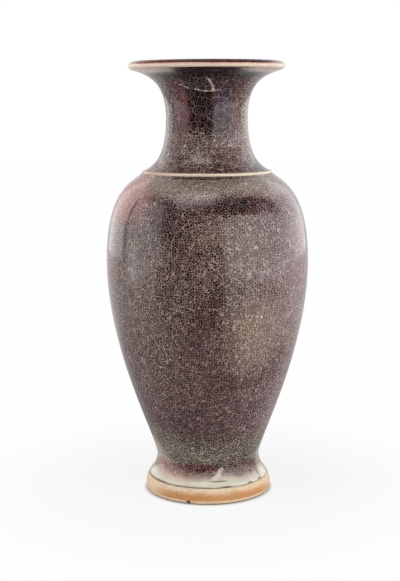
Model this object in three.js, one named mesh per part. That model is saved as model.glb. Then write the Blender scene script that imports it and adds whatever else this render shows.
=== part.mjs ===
// A tall ceramic vase with a trumpet mouth, a raised fillet at the root of the neck
// and a spreading foot on an unglazed ring. Its clay sections are turned one by one
// and luted together, and its glaze lies over them in separate coats.
// Millimetres, +Z up, origin at the centre of the face that the vase stands on.

import * as THREE from "three";

// Heights, stacked from the standing face to the crest of the lip
const footRingHeight = 13.9;
const grooveHeight = 1.0;
const skirtHeight = 17.0;
const lowerBodyHeight = 174.0;
const shoulderHeight = 78.2;
const filletWidth = 3.6;
const neckHeight = 46.3;
const mouthHeight = 40.5;
const lipEdgeHeight = 3.9;
const lipCrownHeight = 2.9;

// Radii of the glazed outside, from the foot to the lip
const footRingRadius = 56.0;
const skirtSetbackWidth = 2.9;
const waistRadius = 45.7;
const bellyRadius = 88.8;
const filletRootRadius = 55.7;
const neckRadius = 35.6;
const lipRadius = 67.8;
const lipCrestRadius = 61.8;

// The foot ring's width, its splayed inside, and the floor that closes the vessel
const footRingWidth = 11.6;
const footBevelWidth = 2.4;
const innerSplayWidth = 2.5;
const recessHeight = 20.0;
const floorThickness = 8.0;

// Thickness of the clay wall and of the glaze coats
const waistWallThickness = 8.0;
const bellyWallThickness = 6.5;
const filletWallThickness = 6.0;
const neckWallThickness = 5.5;
const lipWallThickness = 6.2;
const outerGlazeThickness = 1.0;
const lipGlazeThickness = 0.3;
const innerGlazeThickness = 0.8;
const coatClearance = 0.02;

// Small rounds and steps
const footBevelHeight = 2.8;
const footLowTaperWidth = 0.3;
const footHighTaperWidth = 0.9;
const footShoulderRadius = 2.9;
const innerBevelHeight = 1.2;
const filletProudHeight = 1.2;
const lipOverhangWidth = 1.5;
const lipTopRoundRadius = 0.6;

// Slopes of the outside, in degrees above the horizontal
const skirtSlope = 52;
const shoulderSlope = 39;
const lipSlope = 22;

// How far each curve holds its end direction, as shares of that stretch
const skirtSpread = 0.2;
const waistTightness = 0.42;
const waistHold = 0.08;
const lowerBellyHold = 0.445;
const upperBellyHold = 0.75;
const shoulderHold = 0.145;
const neckRootHold = 0.135;
const lowerNeckHold = 0.78;
const upperNeckHold = 0.69;
const lipHold = 0.2;

// Rings of points along each stretch, and flats around each turned piece
const skirtSteps = 4;
const lowerBodySteps = 7;
const shoulderSteps = 7;
const filletSteps = 2;
const neckSteps = 5;
const mouthSteps = 6;
const lipSteps = 2;
const roundSteps = 4;
const flatsAround = 36;

// Heights worked out from the stack
const skirtZ = footRingHeight + grooveHeight;
const waistZ = skirtZ + skirtHeight;
const bellyZ = waistZ + lowerBodyHeight;
const filletLowZ = bellyZ + shoulderHeight;
const filletAngle = THREE.MathUtils.degToRad(shoulderSlope);
const filletRise = filletWidth * Math.sin(filletAngle);
const filletHighZ = filletLowZ + filletRise;
const throatZ = filletHighZ + neckHeight;
const lipUnderZ = throatZ + mouthHeight;
const lipTopZ = lipUnderZ + lipEdgeHeight;
const crestZ = lipTopZ + lipCrownHeight;
const floorTopZ = recessHeight + floorThickness;

// Radii of the foot, all measured in from the widest part of its ring
const standingOuterRadius = footRingRadius - footBevelWidth;
const skirtRadius = footRingRadius - skirtSetbackWidth;
const footInnerRadius = footRingRadius - footRingWidth;
const standingInnerRadius = footInnerRadius + innerSplayWidth;

// Radii at the two edges of the fillet, which lies on the slope of the shoulder
const filletHalfRun = (filletWidth * Math.cos(filletAngle)) / 2;
const filletLowRadius = filletRootRadius + filletHalfRun;
const filletHighRadius = filletRootRadius - filletHalfRun;
const lipUnderRadius = lipRadius - lipOverhangWidth;

// A direction in the profile plane that climbs inward, or outward, at a slope
function climbingInward(degrees) {
  const angle = THREE.MathUtils.degToRad(degrees);
  return new THREE.Vector2(-Math.cos(angle), Math.sin(angle));
}

function climbingOutward(degrees) {
  const angle = THREE.MathUtils.degToRad(degrees);
  return new THREE.Vector2(Math.cos(angle), Math.sin(angle));
}

const upright = new THREE.Vector2(0, 1);
const upSkirt = climbingInward(skirtSlope);
const upShoulder = climbingInward(shoulderSlope);
const upLip = climbingOutward(lipSlope);

// One stretch of the outside: a curve that leaves its lower end and reaches its
// upper end in given directions, each held for a share of the distance between them
function stretch(low, lowDirection, lowHold, high, highDirection, highHold) {
  const reach = low.distanceTo(high);
  const lowHandle = low.clone().addScaledVector(lowDirection, lowHold * reach);
  const highHandle = high.clone().addScaledVector(highDirection, -highHold * reach);
  return new THREE.CubicBezierCurve(low, lowHandle, highHandle, high);
}

// Points along a stretch with their outward direction and the thickness of each layer
function stationsAlong(curve, steps, low, high) {
  const stations = [];
  for (let i = 0; i <= steps; i += 1) {
    const share = i / steps;
    const tangent = curve.getTangent(share);
    stations.push({
      point: curve.getPoint(share),
      outward: new THREE.Vector2(tangent.y, -tangent.x),
      glaze: THREE.MathUtils.lerp(low.glaze, high.glaze, share),
      wall: THREE.MathUtils.lerp(low.wall, high.wall, share),
    });
  }
  return stations;
}

const skirtEdge = new THREE.Vector2(skirtRadius, skirtZ);
const waist = new THREE.Vector2(waistRadius, waistZ);
const belly = new THREE.Vector2(bellyRadius, bellyZ);
const filletLow = new THREE.Vector2(filletLowRadius, filletLowZ);
const filletHigh = new THREE.Vector2(filletHighRadius, filletHighZ);
const throat = new THREE.Vector2(neckRadius, throatZ);
const lipUnder = new THREE.Vector2(lipUnderRadius, lipUnderZ);

const skirtCurve = stretch(skirtEdge, upSkirt, skirtSpread, waist, upright, waistTightness);
const lowerCurve = stretch(waist, upright, waistHold, belly, upright, lowerBellyHold);
const shoulderCurve = stretch(belly, upright, upperBellyHold, filletLow, upShoulder, shoulderHold);
const filletLine = new THREE.LineCurve(filletLow, filletHigh);
const neckCurve = stretch(filletHigh, upShoulder, neckRootHold, throat, upright, lowerNeckHold);
const mouthCurve = stretch(throat, upright, upperNeckHold, lipUnder, upLip, lipHold);

// Layers at the ends of the stretches
const waistLayers = { glaze: outerGlazeThickness, wall: waistWallThickness };
const bellyLayers = { glaze: outerGlazeThickness, wall: bellyWallThickness };
const filletLayers = { glaze: outerGlazeThickness, wall: filletWallThickness };
const throatLayers = { glaze: outerGlazeThickness, wall: neckWallThickness };
const lipLayers = { glaze: lipGlazeThickness, wall: lipWallThickness };

// Neighbouring stretches share the station where they meet, so their pieces touch face to face
const skirt = stationsAlong(skirtCurve, skirtSteps, waistLayers, waistLayers);
const lower = stationsAlong(lowerCurve, lowerBodySteps, waistLayers, bellyLayers);
const shoulder = stationsAlong(shoulderCurve, shoulderSteps, bellyLayers, filletLayers);
const fillet = stationsAlong(filletLine, filletSteps, filletLayers, filletLayers);
const lowNeck = stationsAlong(neckCurve, neckSteps, filletLayers, throatLayers);
const mouth = stationsAlong(mouthCurve, mouthSteps, throatLayers, lipLayers);
lower[0] = skirt[skirtSteps];
shoulder[0] = lower[lowerBodySteps];
fillet[0] = shoulder[shoulderSteps];
lowNeck[0] = fillet[filletSteps];
mouth[0] = lowNeck[neckSteps];

// The flare of the mouth ends where the lip is laid on to it
const flareEnd = mouthSteps - lipSteps;
const flare = mouth.slice(0, flareEnd + 1);
const lip = mouth.slice(flareEnd);
const filletMiddle = fillet[filletSteps / 2];
const upperBody = [...shoulder, filletMiddle];
const neck = [filletMiddle, ...lowNeck];

// Points at the depths of a station, from the outside of the glaze to the inside of
// the lining. A coat stands off the clay by a hair, so their flats never cross
function inset(station, depth) {
  return station.point.clone().addScaledVector(station.outward, -depth);
}

function glazeFace(station) {
  return station.point.clone();
}

function glazeBackFace(station) {
  return inset(station, station.glaze - coatClearance);
}

function clayFace(station) {
  return inset(station, station.glaze);
}

function innerFace(station) {
  return inset(station, station.glaze + station.wall);
}

function liningBackFace(station) {
  return inset(station, station.glaze + station.wall + coatClearance);
}

function liningFace(station) {
  return inset(station, station.glaze + station.wall + innerGlazeThickness);
}

// The inside is smoother than the outside, so it takes every second station
function everySecond(stations) {
  const last = stations.length - 1;
  return stations.filter((station, i) => i % 2 === 0 || i === last);
}

function insideOf(stations, face) {
  return everySecond(stations).map(face).reverse();
}

// A round arc between two points that bulges outward to a third
function roundBetween(low, middle, high) {
  const chordMiddle = low.clone().lerp(high, 0.5);
  const bulge = middle.clone().sub(chordMiddle);
  const control = middle.clone().add(bulge);
  return new THREE.QuadraticBezierCurve(low, control, high).getPoints(roundSteps);
}

// The inner wall of the foot is a plain cone from the foot ring up to the waist
const footInnerLow = new THREE.Vector2(footInnerRadius, footRingHeight);
const footInnerHigh = innerFace(skirt[skirtSteps]);

function footInnerAt(height) {
  const share = (height - footInnerLow.y) / (footInnerHigh.y - footInnerLow.y);
  return new THREE.Vector2().lerpVectors(footInnerLow, footInnerHigh, share);
}

const floorLowEdge = footInnerAt(recessHeight);
const floorHighEdge = footInnerAt(floorTopZ);

// Corners of the lip, which its clay and its glaze share
const lipTopEdge = new THREE.Vector2(lipRadius - lipTopRoundRadius, lipTopZ);
const crest = new THREE.Vector2(lipCrestRadius, crestZ);
const clayCrest = new THREE.Vector2(lipCrestRadius, crestZ - innerGlazeThickness);
const liningCrestBack = new THREE.Vector2(lipCrestRadius, clayCrest.y + coatClearance);
const liningEdgeBack = new THREE.Vector2(lipTopEdge.x, lipTopZ + coatClearance);

const finishes = {
  biscuit: { color: 0xc68a55, roughness: 0.85, metalness: 0 },
  clay: { color: 0xd8c4a4, roughness: 0.9, metalness: 0 },
  paleGlaze: { color: 0xe0cdbd, roughness: 0.35, metalness: 0 },
  crackleGlaze: { color: 0x5e4a4e, roughness: 0.22, metalness: 0 },
  liningGlaze: { color: 0x4a3534, roughness: 0.3, metalness: 0 },
};

const vase = new THREE.Group();

// Turns a profile around the upright axis and adds it to the vase under its name
function addTurned(name, finish, profile) {
  const geometry = new THREE.LatheGeometry(profile, flatsAround);
  geometry.rotateX(Math.PI / 2);
  const mesh = new THREE.Mesh(geometry, new THREE.MeshStandardMaterial(finishes[finish]));
  mesh.name = name;
  vase.add(mesh);
}

// A hollow piece, whose profile goes up its outside, down its inside and closes
function addHollow(name, finish, outside, inside) {
  addTurned(name, finish, [...outside, ...inside, outside[0].clone()]);
}

function footRing() {
  const outside = [
    new THREE.Vector2(standingOuterRadius, 0),
    new THREE.Vector2(footRingRadius - footLowTaperWidth, footBevelHeight),
    new THREE.Vector2(footRingRadius, footRingHeight / 2),
    new THREE.Vector2(footRingRadius - footHighTaperWidth, footRingHeight - footShoulderRadius),
    new THREE.Vector2(footRingRadius - footShoulderRadius, footRingHeight),
  ];
  const inside = [
    footInnerLow,
    new THREE.Vector2(standingInnerRadius - innerBevelHeight, innerBevelHeight),
    new THREE.Vector2(standingInnerRadius, 0),
  ];
  addHollow("foot_ring", "biscuit", outside, inside);
}

function footSection() {
  const glazeEdge = clayFace(skirt[0]);
  const outside = [new THREE.Vector2(glazeEdge.x, footRingHeight), ...skirt.map(clayFace)];
  const inside = [footInnerHigh, floorHighEdge, floorLowEdge, footInnerLow];
  addHollow("foot_section", "clay", outside, inside);
}

function baseFloor() {
  const underCentre = new THREE.Vector2(0, recessHeight);
  const topCentre = new THREE.Vector2(0, floorTopZ);
  addTurned("base_floor", "clay", [underCentre, floorLowEdge, floorHighEdge, topCentre]);
}

function undersideGlaze() {
  const highZ = recessHeight - coatClearance;
  const lowZ = recessHeight - innerGlazeThickness;
  addTurned("underside_glaze", "liningGlaze", [
    new THREE.Vector2(0, lowZ),
    new THREE.Vector2(floorLowEdge.x, lowZ),
    new THREE.Vector2(floorLowEdge.x, highZ),
    new THREE.Vector2(0, highZ),
  ]);
}

function claySection(name, stations) {
  addHollow(name, "clay", stations.map(clayFace), insideOf(stations, innerFace));
}

function glazeCoat(name, stations) {
  addHollow(name, "crackleGlaze", stations.map(glazeFace), stations.map(glazeBackFace).reverse());
}

// The fillet lies over the joint of shoulder and neck, between the two outer coats
function neckFillet() {
  const top = inset(filletMiddle, -filletProudHeight);
  const outside = roundBetween(clayFace(fillet[0]), top, clayFace(fillet[filletSteps]));
  addHollow("neck_ring", "paleGlaze", outside, [clayFace(filletMiddle)]);
}

function lipRoll() {
  const under = lip.map(clayFace);
  const low = under[under.length - 1];
  const middle = new THREE.Vector2(lipRadius, (low.y + lipTopEdge.y) / 2);
  const edge = roundBetween(low, middle, lipTopEdge).slice(1);
  addHollow("lip_roll", "paleGlaze", [...under, ...edge], [clayCrest, innerFace(lip[0])]);
}

// The lining covers the floor, the inside of every section and the top of the lip
function interiorGlaze() {
  const backZ = floorTopZ + coatClearance;
  const faceZ = floorTopZ + innerGlazeThickness;
  const sections = [lower, upperBody, neck, flare];
  const back = [new THREE.Vector2(0, backZ), new THREE.Vector2(floorHighEdge.x - coatClearance, backZ)];
  sections.forEach((stations) => back.push(...everySecond(stations).map(liningBackFace).slice(0, -1)));
  back.push(liningBackFace(lip[0]), liningCrestBack, liningEdgeBack);
  const face = [crest, liningFace(lip[0])];
  sections.reverse().forEach((stations) => face.push(...insideOf(stations, liningFace).slice(1)));
  face.push(new THREE.Vector2(floorHighEdge.x - innerGlazeThickness, faceZ), new THREE.Vector2(0, faceZ));
  addTurned("interior_glaze", "liningGlaze", [...back, ...face]);
}

footRing();
footSection();
baseFloor();
undersideGlaze();
claySection("lower_body", lower);
claySection("upper_body", upperBody);
claySection("neck", neck);
claySection("mouth", flare);
neckFillet();
lipRoll();
glazeCoat("body_glaze", [...skirt, ...lower.slice(1), ...shoulder.slice(1)]);
glazeCoat("neck_glaze", [...lowNeck, ...mouth.slice(1)]);
interiorGlaze();

export default vase;
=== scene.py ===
"""Tall ceramic vase with a trumpet mouth: fine turned surfaces, glazes and a studio.

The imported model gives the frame. Every node of it is stood for by a finer turned
piece of the same outline, in metres, with +Z up and the front towards -Y.
"""

import math

import bmesh
import bpy
from bpy.props import FloatProperty, FloatVectorProperty, IntProperty, PointerProperty
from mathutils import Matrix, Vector, noise


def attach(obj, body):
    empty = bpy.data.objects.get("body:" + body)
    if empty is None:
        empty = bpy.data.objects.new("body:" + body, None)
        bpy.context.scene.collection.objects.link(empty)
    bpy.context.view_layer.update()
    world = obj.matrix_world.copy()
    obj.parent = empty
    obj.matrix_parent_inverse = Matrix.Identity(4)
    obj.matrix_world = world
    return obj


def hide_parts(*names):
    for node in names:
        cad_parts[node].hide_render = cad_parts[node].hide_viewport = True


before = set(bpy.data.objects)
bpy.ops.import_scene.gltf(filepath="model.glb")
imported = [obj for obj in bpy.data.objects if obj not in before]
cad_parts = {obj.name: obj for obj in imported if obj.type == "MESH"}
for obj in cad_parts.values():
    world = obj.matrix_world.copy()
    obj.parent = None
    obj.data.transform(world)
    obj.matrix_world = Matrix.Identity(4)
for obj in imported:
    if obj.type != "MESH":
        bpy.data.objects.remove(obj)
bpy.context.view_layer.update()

bl_info = {
    "name": "Ceramic Vase",
    "version": (1, 0, 0),
    "blender": (4, 5, 0),
    "location": "3D View > Sidebar > Vase",
    "description": "Builds a crackle-glazed ceramic vase piece by piece, with its studio",
    "category": "Add Mesh",
}


def length(name, default, description):
    return FloatProperty(
        name=name, description=description, default=default,
        min=0, precision=4, subtype="DISTANCE", unit="LENGTH")


def share(name, default, description):
    return FloatProperty(
        name=name, description=description, default=default,
        min=0, max=1, subtype="FACTOR")


def radiance(name, default, description="Radiance"):
    return FloatProperty(name=name, description=description, default=default, min=0)


def degrees(name, default, description):
    return FloatProperty(
        name=name, description=description, default=math.radians(default),
        subtype="ANGLE", unit="ROTATION")


def colour(name, red, green, blue, description):
    """A colour property whose default is written as screen values from 0 to 255."""
    def linear(value):
        value /= 255.0
        return value / 12.92 if value <= 0.04045 else ((value + 0.055) / 1.055) ** 2.4

    return FloatVectorProperty(
        name=name, description=description, subtype="COLOR", size=3,
        min=0, max=1, default=(linear(red), linear(green), linear(blue)))


class VASE_PG_sizes(bpy.types.PropertyGroup):
    """Outline and layers of the vase."""

    foot_ring_height: length("Foot ring height", 0.0139, "Height of the unglazed ring")
    groove_height: length("Groove height", 0.001, "Gap between foot ring and glaze")
    skirt_height: length("Skirt height", 0.017, "From the groove up to the waist")
    lower_body_height: length("Lower body height", 0.174, "From the waist up to the belly")
    shoulder_height: length("Shoulder height", 0.0782, "From the belly up to the neck ring")
    ring_width: length("Neck ring width", 0.0036, "Width of the ridge at the neck's root")
    neck_height: length("Neck height", 0.0463, "From the neck ring up to the throat")
    mouth_height: length("Mouth height", 0.0405, "From the throat up to the lip")
    lip_edge_height: length("Lip edge height", 0.0039, "Height of the pale edge of the lip")
    lip_crown_height: length("Lip crown height", 0.0029, "Rise from the edge to the crest")
    foot_radius: length("Foot radius", 0.056, "Widest radius of the foot ring")
    skirt_radius: length("Skirt radius", 0.0531, "Radius of the glaze at the groove")
    waist_radius: length("Waist radius", 0.0457, "Narrowest radius above the foot")
    belly_radius: length("Belly radius", 0.0888, "Widest radius of the body")
    ring_radius: length("Neck ring radius", 0.0557, "Radius of the ridge")
    neck_radius: length("Neck radius", 0.0356, "Narrowest radius of the neck")
    lip_radius: length("Lip radius", 0.0678, "Widest radius of the lip")
    crest_radius: length("Lip crest radius", 0.0618, "Radius of the top of the lip")
    foot_ring_width: length("Foot ring width", 0.0116, "Width of the foot ring")
    floor_height: length("Floor height", 0.02, "Underside of the floor")
    floor_thickness: length("Floor thickness", 0.008, "Clay of the floor")
    waist_wall: length("Waist wall", 0.008, "Clay thickness at the waist")
    belly_wall: length("Belly wall", 0.0065, "Clay thickness at the belly")
    ring_wall: length("Neck root wall", 0.006, "Clay thickness under the neck ring")
    throat_wall: length("Throat wall", 0.0055, "Clay thickness at the throat")
    lip_wall: length("Lip wall", 0.0062, "Clay thickness at the lip")
    outer_glaze: length("Outer glaze", 0.001, "Thickness of the outer glaze")
    lip_glaze: length("Lip glaze", 0.0003, "Thickness where the glaze thins at the lip")
    inner_glaze: length("Lining", 0.0008, "Thickness of the lining glaze")
    ridge: length("Ridge height", 0.0012, "How far the neck ring stands proud")
    skirt_slope: degrees("Skirt slope", 52, "Slope of the skirt at the groove")
    shoulder_slope: degrees("Shoulder slope", 39, "Slope at the neck ring")
    lip_slope: degrees("Lip slope", 22, "Slope of the mouth under the lip")
    edge_waver: length("Edge waver", 0.0003, "How far the glaze's lower edge wavers")
    flats: IntProperty(
        name="Flats", description="Faces around each glazed piece", default=320, min=24
    )


class VASE_PG_colours(bpy.types.PropertyGroup):
    """Colours of the glazes and of the fired clay."""

    plum: colour("Plum", 70, 33, 38, "Dark glaze where it lies thick")
    umber: colour("Umber", 80, 60, 50, "Brown cells of the body")
    # Sable also draws part of the painted reflection down the left of the shoulder.
    sable: colour("Sable", 34, 18, 19, "Nearly black glaze of the neck and shoulder")
    smoke: colour("Smoke", 96, 87, 80, "Milky glaze over the plum")
    olive: colour("Olive", 116, 105, 85, "Glaze around the shoulder")
    mauve: colour("Mauve", 93, 61, 68, "Thin milky plum")
    lilac: colour("Lilac", 80, 34, 86, "Bluish milk in the glaze")
    tan: colour("Tan", 138, 122, 98, "Warm thin glaze")
    # Oxblood also draws the top of the painted reflection down the left of the shoulder.
    oxblood: colour("Oxblood", 64, 14, 20, "Copper red where it breaks through")
    wine: colour("Wine", 100, 26, 42, "Copper red, thin")
    # Ash at the vase's far left is also a painted reflection that lightens that edge.
    ash: colour("Ash", 133, 115, 118, "Greyish milk at the sides")
    salmon: colour("Salmon", 188, 94, 78, "Copper pink of the shoulder")
    # Slate's band under the lip is partly painted shade.
    slate: colour("Slate", 34, 31, 42, "Blue-grey band under the lip")
    celadon: colour("Celadon", 224, 218, 199, "Pale glaze that ran down to the foot")
    # Crackle is also laid as two faint strokes of painted highlight on the shoulder.
    crack: colour("Crackle", 222, 197, 188, "Pale lines of the crackle")
    cream: colour("Cream", 228, 212, 188, "Thin glaze over an edge")
    peach: colour("Peach", 228, 203, 185, "Lip")
    rim: colour("Rim", 58, 20, 18, "Dark red-brown glaze over the crest and inside")
    biscuit: colour("Biscuit", 206, 146, 90, "Unglazed ring where the fire flashed it")
    pale_biscuit: colour("Pale biscuit", 242, 218, 186, "Worn and thinly slipped clay")
    clay: colour("Clay", 198, 174, 138, "Fired clay under the glaze")
    # Soot also stands for painted shade: under the lip, under the neck ring, on the foot ring's
    # lowest edge and, with dirt, along the groove. In the dark line down the shoulder's left it
    # is a painted reflection.
    soot_and_shade: colour("Soot", 44, 32, 26, "Dirt in grooves and nicks")


class VASE_PG_glaze(bpy.types.PropertyGroup):
    """Scale and strength of the crackle and of the glaze surface."""

    body_cell: length("Body cell", 0.0021, "Size of a crackle cell on the body")
    neck_cell: length("Neck cell", 0.0023, "Size of a crackle cell on the neck")
    body_line: share("Body line", 0.075, "Half width of a body crack as a share of its cell")
    neck_line: share("Neck line", 0.06, "Half width of a neck crack as a share of its cell")
    roughness: share("Roughness", 0.13, "Roughness of the glassy surface")
    ripple: share("Ripple", 0.1, "Strength of the soft ripple in the glaze")


class VASE_PG_studio(bpy.types.PropertyGroup):
    """Lamps, walls and camera around the vase."""

    right_box: radiance("Right softbox", 2.25)
    left_box: radiance("Left softbox", 1.75)
    top_box: radiance("Top softbox", 2.1)
    back_glow: radiance("Back glow", 2.1, "Radiance of the walls behind")
    room: radiance("Room", 0.28, "Light from all round")
    camera_height: length("Camera height", 0.3442, "Height of the lens")
    camera_distance: length("Camera distance", 1.0536, "Distance of the lens")
    camera_side: FloatProperty(name="Camera side", default=-0.0066, unit="LENGTH",
                               description="Lens to the right of the turning axis")
    camera_tilt: degrees("Camera tilt", 8.87, "Pitch below the horizon")
    camera_roll: degrees("Camera roll", -0.27, "Lean of the picture")


def sizes():
    return bpy.context.scene.vase_sizes


def colours():
    return bpy.context.scene.vase_colours


# Outline

# Keeps a coat of glaze just clear of the clay under it
HAIR = 0.00002
# How far the roll of the lip stands out past the end of the flare
LIP_OVERHANG = 0.0015
# How far the top of the lip's edge lies inside its widest radius
LIP_EDGE_INSET = 0.0006
# How firmly each curve holds its two end directions, as shares of its reach, and its steps
CURVES = {
    "skirt": (0.2, 0.42, 14),
    "lower": (0.08, 0.445, 96),
    "shoulder": (0.75, 0.145, 64),
    "neck": (0.135, 0.78, 44),
    "mouth": (0.69, 0.2, 44),
}
RING_STEPS = 8


class Station:
    """A place on the outline, with its outward direction and its layers."""

    def __init__(self, point, tangent, glaze, wall):
        self.point = point
        self.outward = Vector((tangent.y, -tangent.x)).normalized()
        self.glaze = glaze
        self.wall = wall

    def inset(self, depth):
        return self.point - self.outward * depth

    def clay(self):
        return self.inset(self.glaze)

    def inner(self):
        return self.inset(self.glaze + self.wall)

    def lining(self):
        return self.inset(self.glaze + self.wall + sizes().inner_glaze)


def stretch(name, low, low_way, high, high_way, low_layers, high_layers):
    """Stations along a curve that holds its end directions for a share of its reach."""
    reach = (high - low).length
    low_hold, high_hold, steps = CURVES[name]
    a, b = low + low_way * low_hold * reach, high - high_way * high_hold * reach
    stations = []
    for i in range(steps + 1):
        t = i / steps
        u = 1 - t
        point = u ** 3 * low + 3 * u * u * t * a + 3 * u * t * t * b + t ** 3 * high
        tangent = u * u * (a - low) + 2 * u * t * (b - a) + t * t * (high - b)
        layers = [p + (q - p) * t for p, q in zip(low_layers, high_layers)]
        stations.append(Station(point, tangent, *layers))
    return stations


def way(angle):
    return Vector((math.cos(angle), math.sin(angle)))


def outline():
    """The stretches of the glazed outside from the groove to the lip."""
    s = sizes()
    up = Vector((0, 1))
    skirt_z = s.foot_ring_height + s.groove_height
    waist_z = skirt_z + s.skirt_height
    belly_z = waist_z + s.lower_body_height
    ring_z = belly_z + s.shoulder_height
    half_run = s.ring_width * math.cos(s.shoulder_slope) / 2
    inward = way(math.pi - s.shoulder_slope)
    ring_low = Vector((s.ring_radius + half_run, ring_z))
    ring_high = ring_low + s.ring_width * inward
    skirt = Vector((s.skirt_radius, skirt_z))
    waist = Vector((s.waist_radius, waist_z))
    belly = Vector((s.belly_radius, belly_z))
    throat = Vector((s.neck_radius, ring_high.y + s.neck_height))
    lip = Vector((s.lip_radius - LIP_OVERHANG, throat.y + s.mouth_height))
    g = s.outer_glaze
    waist_wall, belly_wall = (g, s.waist_wall), (g, s.belly_wall)
    ring_wall, throat_wall = (g, s.ring_wall), (g, s.throat_wall)
    lip_wall = (s.lip_glaze, s.lip_wall)
    curves = {
        "skirt": (skirt, way(math.pi - s.skirt_slope), waist, up, waist_wall, waist_wall),
        "lower": (waist, up, belly, up, waist_wall, belly_wall),
        "shoulder": (belly, up, ring_low, inward, belly_wall, ring_wall),
        "neck": (ring_high, inward, throat, up, ring_wall, throat_wall),
        "mouth": (throat, up, lip, way(s.lip_slope), throat_wall, lip_wall),
    }
    parts = {name: stretch(name, *ends) for name, ends in curves.items()}
    parts["ring"] = [
        Station(ring_low.lerp(ring_high, i / RING_STEPS), ring_high - ring_low, *ring_wall)
        for i in range(RING_STEPS + 1)
    ]
    return parts


def flare_end(mouth):
    """Where among the mouth's stations its clay ends and the lip's roll starts."""
    return len(mouth) * 2 // 3


def floor_seat(parts):
    """The inside of the foot section: its two ends, the floor's top and the floor's edges."""
    s = sizes()
    low = Vector((s.foot_radius - s.foot_ring_width, s.foot_ring_height))
    high = parts["skirt"][-1].inner()
    top_z = s.floor_height + s.floor_thickness
    seat = [low.lerp(high, (z - low.y) / (high.y - low.y)) for z in (s.floor_height, top_z)]
    return low, high, top_z, seat


# Turning

# A profile point nearer to the axis than this lies on it
ON_AXIS = 1e-6
# Faces that meet at more than this angle keep a crisp edge
CRISP_ANGLE = math.radians(50)


def put_in_scene(name, data):
    made = bpy.data.objects.new(name, data)
    bpy.context.scene.collection.objects.link(made)
    return made


def turn_piece(node, ending, material, profile, flats=None, shape=None):
    """Turns a closed profile of radius and height points into a solid in its node's place.

    A profile whose ends are on the axis closes there. shape may move a point: it
    takes the angle from the front, the radius and the height.
    """
    name, flats = node + ending, flats or sizes().flats
    made = bmesh.new()
    rings = []
    for radius, height in profile:
        if radius < ON_AXIS:
            rings.append([made.verts.new((0, 0, height))])
            continue
        ring = []
        for i in range(flats):
            angle = math.tau * i / flats
            r, z = shape(angle, radius, height) if shape else (radius, height)
            ring.append(made.verts.new((r * math.sin(angle), -r * math.cos(angle), z)))
        rings.append(ring)
    if len(rings[0]) > 1:
        rings.append(rings[0])
    for low, high in zip(rings, rings[1:]):
        for i in range(flats):
            j = (i + 1) % flats
            if len(low) == 1:
                made.faces.new((low[0], high[j], high[i]))
            elif len(high) == 1:
                made.faces.new((low[i], low[j], high[0]))
            else:
                made.faces.new((low[i], low[j], high[j], high[i]))
    bmesh.ops.recalc_face_normals(made, faces=made.faces)
    mesh = bpy.data.meshes.new(name)
    made.to_mesh(mesh)
    made.free()
    mesh.shade_smooth()
    mesh.set_sharp_from_angle(angle=CRISP_ANGLE)
    mesh.materials.append(material)
    piece = put_in_scene(name, mesh)
    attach(piece, "root")
    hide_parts(node)


def rounded(low, middle, high, steps=8):
    """Points of a round arc between two points that bulges to a third."""
    control = middle * 2 - (low + high) / 2
    return [
        low * (1 - t) ** 2 + control * 2 * t * (1 - t) + high * t * t
        for t in (i / steps for i in range(steps + 1))
    ]


def waver(angle, seed, rate):
    """Smooth noise around the vase that meets itself."""
    return noise.noise(Vector((rate * math.sin(angle), rate * math.cos(angle), seed)))


# Shader trees


class Tree:
    """Lays nodes in a tree, feeding each input with a socket or a plain value."""

    def __init__(self, tree):
        self.nodes, self.links = tree.nodes, tree.links

    def feed(self, socket, value):
        if isinstance(value, bpy.types.NodeSocket):
            self.links.new(value, socket)
            return
        if hasattr(value, "__len__"):
            value = (*value, 1)[:len(socket.default_value)]
        socket.default_value = value

    def add(self, kind, inputs=None, **settings):
        node = self.nodes.new(kind)
        node.location = (220 * (len(self.nodes) // 8), -180 * (len(self.nodes) % 8))
        for key, value in settings.items():
            setattr(node, key, value)
        self.fill(node, inputs or {})
        return node

    def fill(self, node, inputs):
        for key, value in inputs.items():
            if value is not None:
                self.feed(node.inputs[key], value)

    def math(self, operation, a, b=None):
        return self.add("ShaderNodeMath", {0: a, 1: b}, operation=operation).outputs[0]

    def vector(self, operation, a, b=None, scale=None):
        return self.add("ShaderNodeVectorMath", {0: a, 1: b, "Scale": scale},
                        operation=operation).outputs[0]

    def product(self, *values):
        total = values[0]
        for value in values[1:]:
            total = self.math("MULTIPLY", total, value)
        return total

    def step(self, value, low, high, to_low=0, to_high=1):
        """A soft step as value goes from low to high."""
        return self.add("ShaderNodeMapRange", {
            "Value": value, "From Min": low, "From Max": high,
            "To Min": to_low, "To Max": to_high,
        }, interpolation_type="SMOOTHSTEP").outputs[0]

    def blend(self, factor, a, b, kind="MIX"):
        """A mix of two colours. Inputs 6 and 7 and output 2 are the node's colour sockets."""
        return self.add("ShaderNodeMix", {0: factor, 6: a, 7: b},
                        data_type="RGBA", blend_type=kind).outputs[2]

    def noise(self, point, scale, detail=2, roughness=0.5):
        return self.add("ShaderNodeTexNoise", {
            "Vector": point, "Scale": scale, "Detail": detail, "Roughness": roughness,
        }).outputs["Fac"]

    def squeeze(self, point, rate):
        """The point with its height times a rate, for marks drawn out or pressed flat."""
        return self.vector("MULTIPLY", point, (1, 1, rate))

    def channel(self, colour, index):
        return self.add("ShaderNodeSeparateColor", {"Color": colour}).outputs[index]

    def bump(self, surface, strength, distance, height):
        node = self.add("ShaderNodeBump", {
            "Strength": strength, "Distance": distance, "Height": height})
        self.feed(surface.inputs["Normal"], node.outputs["Normal"])

    def group(self, name, **values):
        """A shared group, with its inputs named with _ for a space."""
        inputs = {key.replace("_", " "): value for key, value in values.items()}
        return self.add("ShaderNodeGroup", inputs, node_tree=groups()[name]).outputs


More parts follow.
